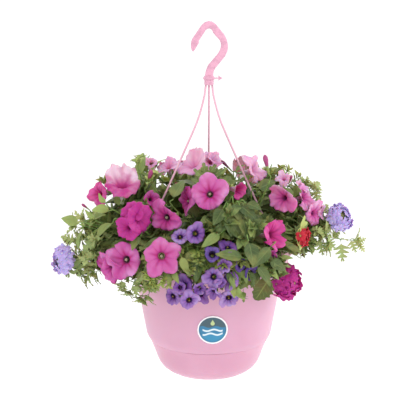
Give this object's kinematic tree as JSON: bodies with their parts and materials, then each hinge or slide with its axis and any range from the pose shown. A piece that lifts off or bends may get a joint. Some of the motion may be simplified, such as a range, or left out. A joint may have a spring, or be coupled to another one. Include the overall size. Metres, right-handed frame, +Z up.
{
  "type": "hanging basket of bedding plants",
  "caption": "Round tapered plastic hanging pot with a push-fit water reservoir and a hooked strand hanger, planted full of petunias, calibrachoas and verbenas",
  "frame": {"origin": "the inside top of the hook, the spot that rests on a bracket or rail", "axes": "+Z is up along the axis of the pot; -Y is the front with the round label and the overflow slot; +X is to the right seen from the front"},
  "size_m": [0.4732, 0.354, 0.537],
  "materials": {
    "pink_plastic": "moulded polypropylene, pale pink, satin, slightly cloudy",
    "hanger_plastic": "moulded polypropylene, pale pink mottled with darker flecks, satin gloss",
    "label": "printed paper-thin sticker, blue with a white edge, satin",
    "soil": "moist peat and bark compost, dark brown, crumbly, matte",
    "petunia_stems": "soft hairy stems and ovate leaves, mid green, matte",
    "calibrachoa_stems": "thin stems and small narrow leaves, light green, satin",
    "verbena_stems": "wiry stems and cut leaves, dark green, matte",
    "petunia_petals": "thin veined petals, pink with a dark throat, translucent, matte",
    "calibrachoa_petals": "thin petals, violet with a dark throat and a yellow eye, matte",
    "lilac_petals": "small lilac florets with pale eyes, matte",
    "magenta_petals": "small deep magenta florets, matte",
    "red_petals": "small red florets, matte"
  },
  "bodies": {
    "root": {"pot_body": "pink_plastic", "reservoir_bowl": "pink_plastic", "soil": "soil", "hook": "hanger_plastic", "pot_label": "label", "rim_clip_left": "hanger_plastic", "strand_left": "hanger_plastic", "rim_clip_right": "hanger_plastic", "strand_right": "hanger_plastic", "rim_clip_back": "hanger_plastic", "strand_back": "hanger_plastic", "petunia_bloom_01": "petunia_petals", "petunia_bloom_02": "petunia_petals", "petunia_bloom_03": "petunia_petals", "petunia_bloom_04": "petunia_petals", "petunia_bloom_05": "petunia_petals", "petunia_bloom_06": "petunia_petals", "petunia_bloom_07": "petunia_petals", "petunia_bloom_08": "petunia_petals", "petunia_bloom_09": "petunia_petals", "petunia_bloom_10": "petunia_petals", "petunia_bloom_11": "petunia_petals", "petunia_bloom_12": "petunia_petals", "petunia_bloom_13": "petunia_petals", "petunia_bloom_14": "petunia_petals", "petunia_bloom_15": "petunia_petals", "petunia_bloom_16": "petunia_petals", "petunia_bloom_17": "petunia_petals", "petunia_bloom_18": "petunia_petals", "petunia_bloom_19": "petunia_petals", "petunia_bloom_20": "petunia_petals", "petunia_bloom_21": "petunia_petals", "petunia_bloom_22": "petunia_petals", "calibrachoa_bloom_01": "calibrachoa_petals", "calibrachoa_bloom_02": "calibrachoa_petals", "calibrachoa_bloom_03": "calibrachoa_petals", "calibrachoa_bloom_04": "calibrachoa_petals", "calibrachoa_bloom_05": "calibrachoa_petals", "calibrachoa_bloom_06": "calibrachoa_petals", "calibrachoa_bloom_07": "calibrachoa_petals", "calibrachoa_bloom_08": "calibrachoa_petals", "calibrachoa_bloom_09": "calibrachoa_petals", "calibrachoa_bloom_10": "calibrachoa_petals", "calibrachoa_bloom_11": "calibrachoa_petals", "calibrachoa_bloom_12": "calibrachoa_petals", "verbena_bloom_01": "lilac_petals", "verbena_bloom_02": "magenta_petals", "verbena_bloom_03": "lilac_petals", "verbena_bloom_04": "lilac_petals", "verbena_bloom_05": "magenta_petals", "verbena_bloom_06": "red_petals", "petunia_left_plant": "petunia_stems", "petunia_middle_plant": "petunia_stems", "petunia_right_plant": "petunia_stems", "petunia_back_plant": "petunia_stems", "calibrachoa_front_plant": "calibrachoa_stems", "calibrachoa_back_plant": "calibrachoa_stems", "verbena_left_plant": "verbena_stems", "verbena_right_plant": "verbena_stems"}
  },
  "joints": []
}
